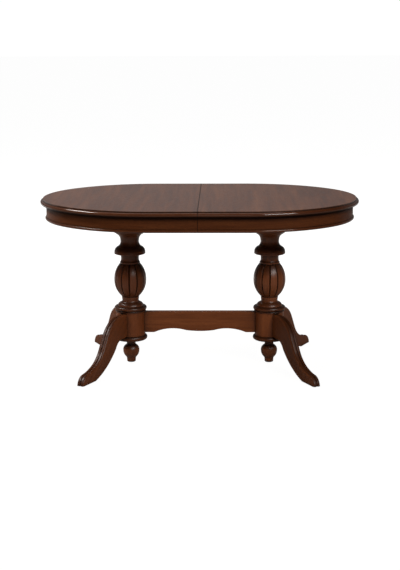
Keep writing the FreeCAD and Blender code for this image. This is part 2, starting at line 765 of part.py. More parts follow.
for name, front in (("front_latch", -1), ("rear_latch", 1)):
    lever = new_body(name)
    x, y = -S.latch_pivot_inset, front * latch_offset
    half = S.latch_width / 2
    notch = S.latch_pin_radius + S.keeper_play
    far = S.latch_reach + notch + S.latch_pin_radius
    mouth_low, mouth_high = S.latch_reach - notch, S.latch_reach + notch
    floor = S.latch_pin_radius + S.latch_gap
    corners = [(-half, -S.latch_tail), (half, -S.latch_tail), (half, mouth_low), (-floor, mouth_low),
               (-floor, mouth_high), (half, mouth_high), (half, far), (-half, far)]
    corners = [(x + u, y + front * v) for u, v in corners]
    sketch = outline(lever, "XY_Plane", corners, None, lever_bottom)
    feature(lever, "Pad", sketch, Length=S.latch_thickness)
    sketch = circles(lever, "XY_Plane", [(x, y)], S.latch_pin_radius + S.axle_play, lever_bottom)
    feature(lever, "Pocket", sketch, Length=S.latch_thickness + S.arris, Reversed=True)

# turned column: heights are shares of the column, radii are sizes or shares of them
column_height = bearer_bottom - column_bottom
foot, low_neck, bulb = S.column_foot_radius, S.lower_neck_radius, S.bulb_radius
high_neck, disc, top_neck = S.upper_neck_radius, S.disc_radius, S.top_neck_radius
capital, head = S.capital_radius, S.head_radius
profile_shares = [
    (foot, 1, 0, 0), (foot, 1, 0.008, 0.16), (low_neck, 1.13, 0.042, -0.2), (low_neck, 1, 0.082, -0.05),
    (low_neck, 1.03, 0.106, 0), (low_neck, 0.98, 0.11, 0), (bulb, 0.57, 0.116, 0.11), (bulb, 1, 0.312, 0.086),
    (bulb, 0.66, 0.478, 0), (high_neck, 1.03, 0.481, 0), (high_neck, 1.12, 0.487, 0),
    (high_neck, 1.12, 0.501, -0.1), (high_neck, 1, 0.53, -0.05), (high_neck, 1.06, 0.586, 0),
    (disc, 0.93, 0.593, 0.3), (disc, 1, 0.611, 0.13), (disc, 0.82, 0.672, 0), (disc, 0.755, 0.677, -0.15),
    (top_neck, 1, 0.75, -0.15), (capital, 0.81, 0.822, 0), (capital, 0.86, 0.832, 0.42),
    (capital, 0.86, 0.9, -0.1), (head, 1, 0.91, 0), (head, 1, 1, 0),
]
bend_shares = {step: entry[3] for step, entry in enumerate(profile_shares) if entry[3]}
spigot = S.bore_radius - S.joint_gap
corners = [(0, column_bottom - S.spigot_length - S.collar_height),
           (spigot, column_bottom - S.spigot_length - S.collar_height), (spigot, column_bottom)]
corners = corners + [(radius * out, column_bottom + column_height * up)
                     for radius, out, up, bend in profile_shares]
corners.append((0, bearer_bottom))
column = turned("left_column", corners, {step + 3: bend for step, bend in bend_shares.items()})

# the bulb's lobes: one groove cut along the bulb, repeated round the axis
groove_centre_share, groove_reach_share, groove_wide_share, groove_bend_share = 0.3, 1.55, 0.26, -0.16
groove_swing = 76
groove_level = column_bottom + column_height * groove_centre_share
groove_axis = S.bulb_radius - S.lobe_depth - S.bulb_radius * groove_reach_share
mouth = S.bulb_radius + S.lobe_depth
groove_half = S.bulb_radius * groove_wide_share
corners = [(S.bulb_radius - S.lobe_depth, 0), (mouth, -groove_half), (mouth, groove_half)]
sketch = outline(column, "XY_Plane", corners, {0: groove_bend_share, 2: groove_bend_share}, groove_level)
axis_low = Vector(groove_axis.value, -S.lobe_depth.value, 0)
axis_high = Vector(groove_axis.value, S.lobe_depth.value, 0)
line = sketch.addGeometry(Part.LineSegment(axis_low, axis_high), True)
rules = []
hold(sketch, rules, line, 1, (groove_axis, -S.lobe_depth))
hold(sketch, rules, line, 2, (groove_axis, S.lobe_depth))
settle(sketch, rules)
axis = (sketch, ["Axis0"])
groove = feature(column, "Groove", sketch, ReferenceAxis=axis, Angle=groove_swing, Midplane=True)
pattern(column, groove, "Z_Axis", int(SIZES["lobe_count"]))
spots = [(step * S.bearer_width / 4, front * head_spot) for step in (-1, 1) for front in (-1, 1)]
sketch = circles(column, "XY_Plane", spots, S.screw_radius + S.screw_gap, bearer_bottom)
feature(column, "Pocket", sketch, Length=S.screw_grip)
place(column, -pedestal_x, 0, 0, (0, 0, 1), 0)
mirrored(column, "right_column")

# collar: a small bead under a half-round ring
bead_share, ring_in_share, ring_out_share = 0.3, 0.84, 0.88
bead_bend_share, ring_bend_share = 0.44, 0.46
bead_top = collar_bottom + S.collar_height * bead_share
collar = turned("left_collar", [
    (S.bore_radius, collar_bottom), (S.drum_radius, collar_bottom), (S.drum_radius, bead_top),
    (S.ring_radius * ring_out_share, bead_top + S.joint_gap), (S.ring_radius * ring_in_share, column_bottom),
    (S.bore_radius, column_bottom)], {1: bead_bend_share, 3: ring_bend_share})
place(collar, -pedestal_x)
mirrored(collar, "right_collar")

# drum with a cross bolt hole towards the stretcher and each leg
bolt_middle = drum_bottom + S.drum_height / 2 - S.spigot_length / 2
bolt_levels = [bolt_middle + step * S.bolt_spacing / 2 for step in (-1, 1)]
drum = turned("left_drum", [(S.bore_radius, drum_bottom), (S.drum_radius, drum_bottom),
                            (S.drum_radius, collar_bottom), (S.bore_radius, collar_bottom)])
sketch = circles(drum, "YZ_Plane", [(0, level) for level in bolt_levels], S.bolt_radius + S.joint_gap)
hole = feature(drum, "Pocket", sketch, Length=S.drum_radius + S.arris, Reversed=True)
pattern(drum, hole, "Z_Axis", 2, 180 - S.leg_angle)
pattern(drum, hole, "Z_Axis", 2, 180 - S.leg_angle, True)
place(drum, -pedestal_x)
mirrored(drum, "right_drum")

# base cap that closes the drum, and the finial under it
stud_hole = S.stud_radius + S.joint_gap
plug = S.bore_radius - S.joint_gap
cap_top = drum_bottom
cap = turned("left_base_cap", [
    (stud_hole, S.cap_bottom), (S.ring_radius * ring_in_share, S.cap_bottom),
    (S.ring_radius * ring_out_share, cap_top), (plug, cap_top), (plug, cap_top + S.cap_height / 2),
    (stud_hole, cap_top + S.cap_height / 2)], {1: bead_bend_share})
place(cap, -pedestal_x)
mirrored(cap, "right_base_cap")

finial_height = S.cap_bottom - S.finial_clearance
stud_depth = S.stud_length / 2
finial_shares = [
    (S.finial_foot_radius, 0.8, 0), (S.finial_foot_radius, 1, 0.06), (S.finial_foot_radius, 1.03, 0.14),
    (S.finial_foot_radius, 1.22, 0.23), (S.finial_radius, 1, 0.49), (S.finial_neck_radius, 1, 0.77),
    (S.finial_neck_radius, 1.3, 1),
]
finial_bend_shares = {1: 0.2, 3: -0.08, 4: 0.1, 5: 0.17, 6: -0.16}
corners = [(0, S.finial_clearance)]
corners = corners + [(radius * out, S.finial_clearance + finial_height * up)
                     for radius, out, up in finial_shares]
socket_bottom = S.cap_bottom - stud_depth
corners = corners + [(stud_hole, S.cap_bottom), (stud_hole, socket_bottom), (0, socket_bottom)]
finial = turned("left_finial", corners, finial_bend_shares)
place(finial, -pedestal_x)
mirrored(finial, "right_finial")
members = []
for side in (-1, 1):
    stud = doc.addObject("Part::Cylinder", "finial_stud")
    bind(stud, Radius=S.stud_radius, Height=S.stud_length - S.joint_gap)
    members.append(place(stud, side * pedestal_x, 0, S.cap_bottom - stud_depth + S.joint_gap))
group("finial_studs", members)

# sabre leg: shares of its reach and of its rise from the sole to its shoulder
leg_top = collar_bottom - S.leg_drop
leg_rise = leg_top - S.glide_height
under_shares = [(0.11, 0.566), (0.2736, 0.566), (0.3731, 0.4265), (0.7662, 0)]
crest_shares = [(1, 0), (0.9116, 0.174), (0.7797, 0.228), (0.6036, 0.4669), (0.5149, 0.7264),
                (0.2289, 1), (0.11, 1)]
reed_shares = [(0.9911, 0), (0.9105, 0.1592), (0.7761, 0.2143), (0.5958, 0.4596), (0.5072, 0.7188),
               (0.2289, 0.9851), (0.11, 0.9851)]
clear_shares = [(0.11, 1.2), (1.2, 1.2), (1.2, 0)]
under_bend_shares = {1: -0.1, 2: 0.067}
crest_bend_shares = {0: 0.1691, 1: -0.0359, 2: -0.083, 4: 0.1334}


def leg_points(shares):
    """Corners of the leg from shares of its reach and rise."""
    return [(S.leg_reach * out, S.glide_height + leg_rise * up) for out, up in shares]


def leg(label, side, front):
    """One leg: two reeds along its crest, and its end hollowed to the drum."""
    body = new_body(label)
    bends = dict(under_bend_shares)
    for step, bend in crest_bend_shares.items():
        bends[step + len(under_shares)] = bend
    sketch = outline(body, "XZ_Plane", leg_points(under_shares + crest_shares), bends)
    feature(body, "Pad", sketch, Length=S.leg_thickness, Midplane=True)
    sketch = outline(body, "XZ_Plane", leg_points(reed_shares + clear_shares), dict(crest_bend_shares))
    feature(body, "Pocket", sketch, Length=S.reed_gap, Midplane=True)
    sketch = circles(body, "XY_Plane", [(0, 0)], S.drum_radius + S.joint_gap)
    feature(body, "Pocket", sketch, Length=leg_top + S.leg_reach, Reversed=True)
    sketch = circles(body, "YZ_Plane", [(0, level) for level in bolt_levels], S.bolt_radius + S.joint_gap)
    feature(body, "Pocket", sketch, Length=S.drum_radius + S.bolt_grip, Reversed=True)
    crest = [(x.value, z.value) for x, z in leg_points(crest_shares[:-1])]

    def on_crest(edge, half):
        """True for an edge along the crest at one distance from the leg's middle."""
        box = edge.BoundBox
        if not (near(box.YMin, box.YMax) and near(abs(box.YMin), half)):
            return False
        ends = [vertex.Point for vertex in edge.Vertexes]
        gap = S.joint_gap.value
        return all(any(math.hypot(end.x - x, end.z - z) < gap for x, z in crest) for end in ends)

    soften(body, S.leg_round, lambda edge: on_crest(edge, S.leg_thickness.value / 2))
    soften(body, S.reed_round, lambda edge: on_crest(edge, S.reed_gap.value / 2))
    angle = S.leg_angle if side > 0 else 180 - S.leg_angle
    return place(body, side * pedestal_x, 0, 0, (0, 0, 1), front * angle)


for name, side in (("left", -1), ("right", 1)):
    for end, front in (("front", -1), ("rear", 1)):
        leg("%s_leg_%s" % (name, end), side, front)

# glides under the feet
members = []
glide_share = 0.885
for side in (-1, 1):
    for front in (-1, 1):
        glide = doc.addObject("Part::Cylinder", "foot_glide")
        bind(glide, Radius=S.glide_radius, Height=S.glide_height)
        out = S.leg_reach * glide_share
        along, across = out * cosine(S.leg_angle), out * sine(S.leg_angle)
        members.append(place(glide, side * (pedestal_x + along), front * across, 0))
group("foot_glides", members)

# stretcher with its scalloped lower edge
stretcher = new_body("stretcher")
high = collar_bottom - S.stretcher_drop
low = high - S.stretcher_height
wave = S.stretcher_height
foot_share, inner_share, valley_share = 0.66, 0.2, 0.1
wave_bend_shares = {1: -0.088, 2: 0.032, 3: -0.088}
valley = low + wave * valley_share
lower = [(-pedestal_x, low), (-pedestal_x * foot_share, low), (-pedestal_x * inner_share, valley),
         (pedestal_x * inner_share, valley), (pedestal_x * foot_share, low), (pedestal_x, low)]
corners = lower + [(pedestal_x, high), (-pedestal_x, high)]
sketch = outline(stretcher, "XZ_Plane", corners, wave_bend_shares)
feature(stretcher, "Pad", sketch, Length=S.stretcher_thickness, Midplane=True)
sketch = circles(stretcher, "XY_Plane", [(-pedestal_x, 0), (pedestal_x, 0)], S.drum_radius + S.joint_gap)
feature(stretcher, "Pocket", sketch, Length=leg_top + S.leg_reach, Reversed=True)
spots = [(0, level) for level in bolt_levels]
sketch = circles(stretcher, "YZ_Plane", spots, S.bolt_radius + S.joint_gap, -pedestal_x)
feature(stretcher, "Pocket", sketch, Length=S.drum_radius + S.bolt_grip, Reversed=True)
sketch = circles(stretcher, "YZ_Plane", spots, S.bolt_radius + S.joint_gap, pedestal_x)
feature(stretcher, "Pocket", sketch, Length=S.drum_radius + S.bolt_grip)
soften(stretcher, S.stretcher_round, lambda edge: near(edge.BoundBox.ZMin, high.value)
       and edge.BoundBox.XLength > pedestal_x.value)

# hanger bolts and nuts that draw the legs and the stretcher to the drums
bolts, nuts = [], []
bolt_start = S.bore_radius - S.bolt_end
for side in (-1, 1):
    turns = (size(0), 180 - S.leg_angle, 180 + S.leg_angle)
    if side > 0:
        turns = (size(180), S.leg_angle, -S.leg_angle)
    for turn in turns:
        for level in bolt_levels:
            bolt = doc.addObject("Part::Cylinder", "frame_bolt")
            bind(bolt, Radius=S.bolt_radius, Height=S.drum_radius + S.bolt_grip - S.joint_gap - bolt_start)
            along, across = cosine(turn), sine(turn)
            place(bolt, side * pedestal_x + along * bolt_start, across * bolt_start, level)
            aim = Vector(along.value, across.value, 0)
            bolt.Placement.Rotation = FreeCAD.Rotation(Vector(0, 0, 1), aim)
            bolts.append(bolt)
            nut = doc.addObject("Part::Prism", "frame_nut")
            nut.Polygon = 6
            bind(nut, Circumradius=S.nut_radius, Height=S.nut_height)
            wall = root(S.bore_radius * S.bore_radius - S.nut_radius * S.nut_radius)
            start = wall - S.nut_height - S.nut_gap
            place(nut, side * pedestal_x + along * start, across * start, level)
            nut.Placement.Rotation = FreeCAD.Rotation(Vector(0, 0, 1), aim)
            core = doc.addObject("Part::Cylinder", "nut_hole")
            bind(core, Radius=S.bolt_radius + S.axle_play, Height=S.nut_height)
            place(core, side * pedestal_x + along * start, across * start, level)
            core.Placement.Rotation = FreeCAD.Rotation(Vector(0, 0, 1), aim)
            ring = doc.addObject("Part::Cut", "frame_nut_ring")
            ring.Base = nut
            ring.Tool = core
            nuts.append(ring)
group("frame_bolts", bolts)
group("frame_nuts", nuts)

doc.recompute()
for thing in doc.Objects:
    faults = [word for word in thing.State if word in ("Invalid", "Error")]
    if faults:
        raise RuntimeError("%s is %s" % (thing.Label, faults))
for piece in pieces:
    if piece.Shape.isNull() or not piece.Shape.isValid() or not piece.Shape.Solids:
        raise RuntimeError("%s has no sound shape" % piece.Label)

os.makedirs("parts", exist_ok=True)
for piece in pieces:
    piece.Shape.exportStep("parts/%s.step" % piece.Label)
    box = piece.Shape.BoundBox
    print("%-22s solids %2d  x %.1f %.1f  y %.1f %.1f  z %.1f %.1f  volume %.1f cm3" % (
        piece.Label, len(piece.Shape.Solids), box.XMin, box.XMax, box.YMin, box.YMax,
        box.ZMin, box.ZMax, piece.Shape.Volume / 1000))
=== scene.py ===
import json
import math

import bpy
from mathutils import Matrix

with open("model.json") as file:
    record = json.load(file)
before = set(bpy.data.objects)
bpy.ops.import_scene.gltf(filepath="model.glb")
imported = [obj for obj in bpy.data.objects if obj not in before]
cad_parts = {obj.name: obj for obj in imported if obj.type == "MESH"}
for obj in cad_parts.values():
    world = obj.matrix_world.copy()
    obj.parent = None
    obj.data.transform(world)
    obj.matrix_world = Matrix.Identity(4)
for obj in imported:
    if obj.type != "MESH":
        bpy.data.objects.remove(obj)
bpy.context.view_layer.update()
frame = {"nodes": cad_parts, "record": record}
nodes = frame["nodes"]
scene = bpy.context.scene

# stain, and the near-black of painted shade and of the joint line, as linear colours; the stain goes from
# dark to light grain
STAIN = (
    (0.12, (0.030, 0.0075, 0.0022)),
    (0.42, (0.085, 0.0235, 0.0066)),
    (0.62, (0.128, 0.039, 0.0115)),
    (0.86, (0.205, 0.076, 0.025)),
)
PORE_STAIN = (0.012, 0.004, 0.002)
RUBBED_STAIN = (0.20, 0.078, 0.034)
PAINTED_SHADE_AND_JOINT = (0.005, 0.0015, 0.0006)
WHITE = (1.0, 1.0, 1.0)

# noises: scale per metre, detail, roughness, distortion
CLOUD = (9.0, 2.0, 0.5, 0.3)
BAND = (34.0, 3.0, 0.55, 0.6)
STREAK = (150.0, 4.0, 0.6, 0.2)
FIBRE = (700.0, 2.0, 0.5)
PORE = (1150.0, 1.0, 0.4)
RUB = (38.0, 3.0)
SWIRL = (55.0, 3.0)

# where a mask starts and where it is full
PORE_CUT = (0.60, 0.72)
CREASE_CUT = (0.45, 0.95)
WORN_CUT = (0.02, 0.28)
RUB_CUT = (0.42, 0.68)

# shares in the stain's tone
CLOUD_TONE = 0.35
STREAK_TONE = 0.3
FIBRE_TONE = 0.12
LEAF_TONE = 0.09
TONE_DROP = 0.13

# shares of a darker or lighter colour over the stain; the crest's and the step's are painted shade
PORE_SHARE = 0.4
RUB_SHARE = 0.15
CREST_SHADE_SHARE = 0.62
SEAM_SHARE = 0.9
STEP_SHADE_SHARE = 0.75

# shares in the roughness and in the relief
SWIRL_ROUGH = 0.10
STREAK_ROUGH = 0.10
PORE_ROUGH = 0.12
HOLLOW_ROUGH = 0.2
STREAK_RELIEF = 0.25
FIBRE_RELIEF = 0.35
PORE_RELIEF = 0.8

# lengths in metres, angles in degrees
GRAIN_DEPTH = 0.0004
PEBBLE_DEPTH = 0.0002
CREASE_REACH = 0.0035
ARRIS = 0.0014
TOP_SEAM = 0.0012
EDGE_SEAM = 0.0006
STEP_FOOT = (0.009, 0.0075)
STEP_HEAD = (0.0015, 0.0004)
LEAF_WIDTH = 0.118
TABLE_HEIGHT = 0.76
COLUMN_X = 0.311
LEG_ANGLE = 63.7
LEG_SLOPE = 38.0
MERGE_DISTANCE = 0.000002
SHARP_ANGLE = 32.0
FLOOR_SIZE = 80.0

# the parts of the direction that a leg's crest looks, outward and up
LEG_CREST_OUT = 0.77
LEG_CREST_UP = 0.64

# the dark line at the seam has faded at this many times its half width
SEAM_FADE = 2.5

HOLLOW_SAMPLES = 6
ARRIS_SAMPLES = 4
NORMAL_WEIGHT = 100

# strengths and shares of the paper's and the studio's light
PAPER_GLOW = 1.22
PAPER_GLOW_SHARE = 0.8
STUDIO_WHITE = 1.02
STUDIO_DARK = 0.02
STUDIO_BAND = 0.2
BAND_LOSS_RIGHT = 0.36

# camera fitted to the outline of the top and to the feet, with its focal length in pixels
SENSOR = 36.0
FOCAL_PIXELS = 1308.0
FRAME_PIXELS = 570.0
CAMERA_PLACE = (0.1169, -5.7228, 1.5686)
CAMERA_PITCH = 11.91
CAMERA_ROLL = 0.22
CAMERA_YAW = 1.116


class Wire:
    """One output of a node, with arithmetic that adds Math nodes."""

    def __init__(self, bench, socket):
        self.bench = bench
        self.socket = socket

    def maths(self, operation, *others):
        values = dict(enumerate((self, *others)))
        return self.bench.node("ShaderNodeMath", 0, {"operation": operation}, values)

    def __add__(self, other):
        return self.maths("ADD", other)

    def __sub__(self, other):
        return self.maths("SUBTRACT", other)

    def __rsub__(self, other):
        return (self * -1.0) + other

    def __mul__(self, other):
        return self.maths("MULTIPLY", other)

    __radd__ = __add__
    __rmul__ = __mul__

    def above(self, low, high):
        """0 below low, 1 above high, smooth between."""
        return self.bench.node("ShaderNodeMapRange", "Result", {"interpolation_type": "SMOOTHSTEP"},
                               {"Value": self, "From Min": low, "From Max": high})


def opaque(colour):
    """A colour with full alpha, or the wire that brings one."""
    return colour if isinstance(colour, Wire) else (*colour, 1.0)


def tinted(colour, tint):
    """A colour made lighter or darker."""
    return tuple(part * tint for part in colour)


def set_stops(points, stops):
    """Gives a ramp its stops."""
    while len(points) < len(stops):
        points.new(0.5)
    for point, (where, colour) in zip(points, stops):
        point.position = where
        point.color = opaque(colour)


class Bench:
    """A node tree whose nodes are made one at a time."""

    def __init__(self, tree):
        self.tree = tree

    def node(self, kind, output, settings=None, sockets=None):
        """Adds one node: its settings first, then the values or links of its sockets."""
        made = self.tree.nodes.new(kind)
        for key, value in (settings or {}).items():
            if key == "stops":
                set_stops(made.color_ramp.elements, value)
            else:
                setattr(made, key, value)
        self.fill(made, sockets or {})
        return Wire(self, made.outputs[output])

    def fill(self, made, sockets):
        """Links a node's sockets to wires, or sets them to plain values."""
        for key, value in sockets.items():
            if isinstance(value, Wire):
                self.tree.links.new(value.socket, made.inputs[key])
            else:
                made.inputs[key].default_value = value

    def part(self, axis, vector):
        """The X, Y or Z of a vector."""
        return self.node("ShaderNodeSeparateXYZ", axis, None, {"Vector": vector})

    def camera_ray(self):
        """1 where the camera looks, 0 in light and reflections."""
        return self.node("ShaderNodeLightPath", "Is Camera Ray")


class Finish(Bench):
    """A material."""

    def __init__(self, name):
        self.material = bpy.data.materials.new(name)
        self.material.use_nodes = True
        super().__init__(self.material.node_tree)
        self.shader = self.tree.nodes["Principled BSDF"]
        self.spot = self.node("ShaderNodeTexCoord", "Object")

    def feed(self, **sockets):
        """Fills the shader's own sockets, with _ for a space, and gives the material."""
        self.fill(self.shader, {key.replace("_", " "): value for key, value in sockets.items()})
        return self.material

    def drawn(self, stretch, turn=(0, 0, 0), shift=(0, 0, 0)):
        """Object coordinates, turned to the grain and drawn out along it."""
        return self.node("ShaderNodeMapping", "Vector", {"vector_type": "TEXTURE"},
                         {"Vector": self.spot, "Rotation": turn, "Scale": stretch, "Location": shift})

    def noise(self, spot, scale, detail=4.0, rough=0.55, bend=0.0):
        return self.node("ShaderNodeTexNoise", "Fac", None,
                         {"Vector": spot, "Scale": scale, "Detail": detail,
                          "Roughness": rough, "Distortion": bend})

    def ramp(self, value, *stops):
        """A value turned into a colour."""
        return self.node("ShaderNodeValToRGB", "Color", {"stops": stops}, {"Fac": value})

    def mix(self, share, first, second):
        """A share of the second colour over the first."""
        return self.node("ShaderNodeMix", 2, {"data_type": "RGBA"},
                         {0: share, 6: opaque(first), 7: opaque(second)})

    def dot(self, first, second):
        """1 where two directions agree, 0 where they are square to each other."""
        return self.node("ShaderNodeVectorMath", "Value", {"operation": "DOT_PRODUCT"},
                         {0: first, 1: second})

    def openness(self, reach):
        """1 in the open, 0 deep in a hollow."""
        return self.node("ShaderNodeAmbientOcclusion", "AO", {"samples": HOLLOW_SAMPLES},
                         {"Distance": reach})

    def bump(self, height, strength, depth, normal=None):
        sockets = {"Strength": strength, "Distance": depth, "Height": height}
        if normal:
            sockets["Normal"] = normal
        return self.node("ShaderNodeBump", "Normal", None, sockets)

    def blend(self, share, first, second):
        """A share of the second shader over the first."""
        return self.node("ShaderNodeMixShader", "Shader", None, {0: share, 1: first, 2: second})


def mahogany(name, stretch, turn=(0, 0, 0), shift=(0, 0, 0), tint=1.0, figure=0.5, leaves=0.0,
             rough=0.36, relief=0.16, specular=0.18, coat=0.6, coat_rough=0.12,
             hollow_shade=0.55, reach=0.022, open_from=0.25, open_to=0.92, crease_shade=0.92,
             arris=0.0, crest=None, crest_from=0.45, crest_to=0.75, bare=False,
             seam=0.0, step=0.0):
    """Stained mahogany under lacquer.

    stretch runs along the grain, and leaves is the width of the veneer's leaves. hollow_shade is
    the share of painted shade, a near-black, in hollows as wide as reach, and crease_shade its share
    in fine creases. arris is the radius of rubbed edges. Faces that look along crest get painted
    shade, and bare takes their coat off. seam is half the width of the dark line at the parting.
    step is the height of the field, whose wall below it gets painted shade.
    """
    wood = Finish(name)
    drawn = wood.drawn(stretch, turn, shift)
    cloud = wood.noise(drawn, *CLOUD)
    band = wood.noise(drawn, *BAND)
    streak = wood.noise(drawn, *STREAK)
    fibre = wood.noise(drawn, *FIBRE)
    pore = wood.noise(drawn, *PORE).above(*PORE_CUT)
    tone = cloud * CLOUD_TONE + band * figure + streak * STREAK_TONE + fibre * FIBRE_TONE
    tone = tone - TONE_DROP * (1.0 + figure)
    if leaves:
        leaf = (wood.part("X", wood.spot) * (1.0 / leaves)).maths("FLOOR")
        shade = wood.node("ShaderNodeTexWhiteNoise", "Value", {"noise_dimensions": "1D"}, {"W": leaf})
        tone = tone + (shade - 0.5) * LEAF_TONE
    colour = wood.ramp(tone, *((where, tinted(stain, tint)) for where, stain in STAIN))
    colour = wood.mix(pore * PORE_SHARE, colour, tinted(PORE_STAIN, tint))

    # painted shade: near-black laid into hollows as wide as reach and into fine creases, where shade falls;
    # the hollows are also rougher
    shaded_hollow = 1.0 - wood.openness(reach).above(open_from, open_to)
    crease = 1.0 - wood.openness(CREASE_REACH).above(*CREASE_CUT)
    colour = wood.mix((shaded_hollow * hollow_shade).maths("MAXIMUM", crease * crease_shade), colour, PAINTED_SHADE_AND_JOINT)

    normal = wood.node("ShaderNodeNewGeometry", "Normal")
    if arris:
        eased = wood.node("ShaderNodeBevel", "Normal", {"samples": ARRIS_SAMPLES}, {"Radius": arris})
        worn = (1.0 - wood.dot(eased, normal)).above(*WORN_CUT)
        rub = wood.noise(wood.spot, *RUB).above(*RUB_CUT)
        colour = wood.mix(worn * rub * RUB_SHARE, colour, tinted(RUBBED_STAIN, tint))
        normal = eased
    # painted shade: faces that look along crest are darkened, as where shade falls on them
    if crest:
        turned = wood.dot(normal, crest).above(crest_from, crest_to)
        colour = wood.mix(turned * CREST_SHADE_SHARE, colour, PAINTED_SHADE_AND_JOINT)
        if bare:
            coat = (1.0 - turned) * coat
    if seam:
        split = 1.0 - wood.part("X", wood.spot).maths("ABSOLUTE").above(seam, seam * SEAM_FADE)
        colour = wood.mix(split * SEAM_SHARE, colour, PAINTED_SHADE_AND_JOINT)
        coat = (1.0 - split * SEAM_SHARE) * coat
    # painted shade on the wall below the field's edge
    if step:
        level = wood.part("Z", wood.spot)
        over_foot = level.above(*(step - drop for drop in STEP_FOOT))
        over_head = level.above(*(step - drop for drop in STEP_HEAD))
        colour = wood.mix(over_foot * (1.0 - over_head) * STEP_SHADE_SHARE, colour, PAINTED_SHADE_AND_JOINT)

    swirl = wood.noise(wood.spot, *SWIRL)
    rough = ((swirl - 0.5) * SWIRL_ROUGH + (streak - 0.5) * STREAK_ROUGH
             + pore * PORE_ROUGH + shaded_hollow * HOLLOW_ROUGH + rough)
    height = streak * STREAK_RELIEF + fibre * FIBRE_RELIEF - pore * PORE_RELIEF
    return wood.feed(Base_Color=colour, Roughness=rough, Specular_IOR_Level=specular,
                     Coat_Weight=coat, Coat_Roughness=coat_rough,
                     Normal=wood.bump(height, relief, GRAIN_DEPTH, normal))


def plain_hardwood(name):
    """Pale waxed hardwood of the hidden slides."""
    wood = Finish(name)
    drawn = wood.drawn((14.0, 3.0, 1.0))
    band = wood.noise(drawn, scale=40.0, detail=3.0, bend=0.5)
    fleck = wood.noise(drawn, scale=420.0, detail=2.0, rough=0.5).above(0.58, 0.70) * 0.4
    tone = band * 0.8 + wood.noise(drawn, scale=180.0) * 0.3
    colour = wood.ramp(tone, (0.25, (0.30, 0.185, 0.095)), (0.55, (0.43, 0.285, 0.155)),
                       (0.85, (0.54, 0.385, 0.225)))
    return wood.feed(Base_Color=wood.mix(fleck, colour, (0.22, 0.125, 0.06)),
                     Roughness=band * 0.2 + 0.42,
                     Normal=wood.bump(tone - fleck, strength=0.2, depth=GRAIN_DEPTH))


def zinc(name):
    """Zinc plated steel with a faint mottled bloom."""
    plate = Finish(name)
    bloom = plate.noise(plate.spot, scale=160.0, rough=0.6, bend=0.6)
    grain = plate.noise(plate.spot, scale=1400.0, detail=2.0)
    return plate.feed(Base_Color=plate.ramp(bloom, (0.3, (0.42, 0.42, 0.40)), (0.7, (0.62, 0.62, 0.59))),
                      Roughness=bloom * 0.25 + 0.24, Metallic=1.0,
                      Normal=plate.bump(grain, strength=0.1, depth=PEBBLE_DEPTH))


def moulded(name, dark, light, rough):
    """Moulded plastic with a fine pebble."""
    plastic = Finish(name)
    pebble = plastic.noise(plastic.spot, scale=900.0, detail=2.0)
    cloud = plastic.noise(plastic.spot, scale=60.0, detail=3.0)
    return plastic.feed(Base_Color=plastic.ramp(cloud, (0.3, dark), (0.7, light)),
                        Roughness=pebble * 0.15 + rough,
                        Normal=plastic.bump(pebble, strength=0.12, depth=PEBBLE_DEPTH))


def paper(name):
    """White paper to the camera, grey around the table in light and reflections, clear from below."""
    sheet = Finish(name)
    back = sheet.part("Y", sheet.spot).above(0.6, 2.2)
    sheet.feed(Base_Color=sheet.mix(back, (0.26, 0.24, 0.22), (0.9, 0.9, 0.9)), Roughness=0.9)
    matt = Wire(sheet, sheet.shader.outputs["BSDF"])
    glow = sheet.node("ShaderNodeEmission", "Emission", None,
                      {"Color": opaque(WHITE), "Strength": PAPER_GLOW})
    front = sheet.blend(sheet.camera_ray() * PAPER_GLOW_SHARE, matt, glow)
    below = sheet.node("ShaderNodeNewGeometry", "Backfacing")
    surface = sheet.blend(below, front, sheet.node("ShaderNodeBsdfTransparent", "BSDF"))
    sheet.fill(sheet.tree.nodes["Material Output"], {"Surface": surface})
    return sheet.material


def dress(material, *names):
    """Gives CAD nodes a material."""
    for name in names:
        mesh = nodes[name].data
        mesh.materials.clear()
        mesh.materials.append(material)


# the top: field, lipping, bead and apron
dress(mahogany("wood_top", (1.0, 15.0, 1.0), figure=0.72, leaves=LEAF_WIDTH, rough=0.32, hollow_shade=0.25,
               arris=ARRIS, seam=TOP_SEAM, step=TABLE_HEIGHT),
      "left_top_panel", "right_top_panel")
# the lipping's underside gets painted shade and loses its coat
dress(mahogany("wood_edge", (13.0, 13.0, 1.0), tint=0.75, figure=0.35,
               rough=0.42, relief=0.02, specular=0.05, coat=0.9, coat_rough=0.1, hollow_shade=0.4,
               crest=(0, 0, -1), crest_from=0.15, crest_to=0.6, bare=True, seam=EDGE_SEAM),
      "left_edge_moulding", "right_edge_moulding")
dress(mahogany("wood_bead", (13.0, 13.0, 1.0), shift=(0.3, 0.1, 0.02), tint=0.8, figure=0.35,
               relief=0.02, specular=0.06, coat=0.7, hollow_shade=0.5, seam=EDGE_SEAM),
      "left_apron_bead", "right_apron_bead")
# the apron's hollow shade reaches far down: a painted shadow under the top's overhang
dress(mahogany("wood_apron", (15.0, 15.0, 1.0), shift=(0.0, 0.0, 0.1), tint=0.98,
               rough=0.46, relief=0.08, specular=0.05, coat=0.1, coat_rough=0.2,
               hollow_shade=0.95, reach=0.08, open_from=0.68, open_to=1.0, seam=EDGE_SEAM),
      "left_apron", "right_apron")

